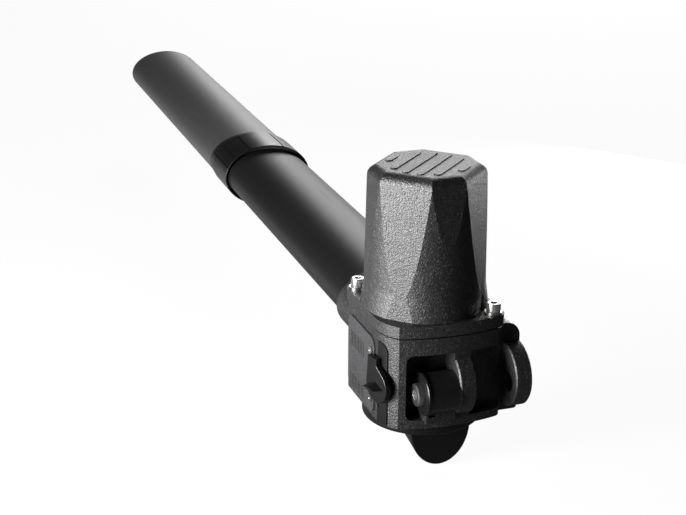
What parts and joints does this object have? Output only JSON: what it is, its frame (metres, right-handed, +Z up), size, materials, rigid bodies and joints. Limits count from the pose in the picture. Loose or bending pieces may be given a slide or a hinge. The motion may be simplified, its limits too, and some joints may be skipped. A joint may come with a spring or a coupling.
{
  "type": "linear swing gate opener",
  "caption": "Telescoping electromechanical ram that swings a gate leaf: upright motor, cast gearbox with rear clevis, oval tubes, release lever.",
  "frame": {"origin": "centre of the rear clevis bore, midway across the two ears", "axes": "+X along the tube towards the gate leaf, +Y along the clevis bore towards the release lever, +Z up along the motor"},
  "size_m": [1.2305, 0.1469, 0.2815],
  "materials": {
    "cast_black": "textured black powder coat on cast aluminium",
    "tube_black": "satin black anodised extrusion",
    "smooth_black": "smooth satin black plastic",
    "collar_black": "satin black moulded plastic",
    "grey_plastic": "satin dark plastic",
    "seal_rubber": "matt black rubber",
    "bolt_steel": "bright zinc-plated steel",
    "dark_steel": "oiled steel",
    "bare_aluminium": "machined aluminium",
    "bronze": "machined bronze"
  },
  "bodies": {
    "opener_body": {"gearbox_housing": "cast_black", "motor_cover": "cast_black", "cover_gasket": "seal_rubber", "cover_bolts": "bolt_steel", "cover_washers": "bolt_steel", "side_plate": "smooth_black", "side_plate_screws": "bolt_steel", "panel_strip": "smooth_black", "bottom_cover": "grey_plastic", "bottom_screws": "bolt_steel", "cable_cowl": "smooth_black", "pivot_bolt": "bolt_steel", "pivot_washer": "dark_steel", "fixed_tube": "tube_black", "screw_bearing": "dark_steel", "motor_plate": "bare_aluminium", "motor_bearing": "dark_steel", "motor_stator": "dark_steel", "end_shield": "bare_aluminium"},
    "motor_shaft": {"motor_rotor": "dark_steel", "bevel_pinion": "dark_steel"},
    "screw_shaft": {"lead_screw": "dark_steel", "crown_wheel": "bronze"},
    "ram": {"sliding_tube": "tube_black", "sliding_collar": "collar_black", "wiper_seal": "seal_rubber", "end_cap": "smooth_black", "push_tube": "bare_aluminium", "drive_nut": "bronze", "front_eye": "dark_steel", "front_plug": "bronze"},
    "release": {"release_lever": "smooth_black", "release_shaft": "dark_steel"}
  },
  "joints": [
    {"name": "motor_spin", "type": "hinge", "parent": "opener_body", "child": "motor_shaft", "pos_m": [0.059, 0.041, 0.033], "axis": [0, 0, 1], "range_deg": [-48000, 0]},
    {"name": "screw_spin", "type": "hinge", "parent": "opener_body", "child": "screw_shaft", "pos_m": [0.059, 0.041, 0.033], "axis": [1, 0, 0], "range_deg": [-24001, 0]},
    {"name": "ram_slide", "type": "slide", "parent": "opener_body", "child": "ram", "axis": [1, 0, 0], "range_m": [-0.4001, 0]},
    {"name": "release_turn", "type": "hinge", "parent": "opener_body", "child": "release", "pos_m": [0.0215, 0.0955, 0.004], "axis": [-0.2419, 0.9703, 0], "range_deg": [0, 90]}
  ],
  "couplings": [
    {"joint": "screw_spin", "follows": "motor_spin", "ratio": 0.5},
    {"joint": "ram_slide", "follows": "motor_spin", "m_per_rad": 0.00047746}
  ]
}
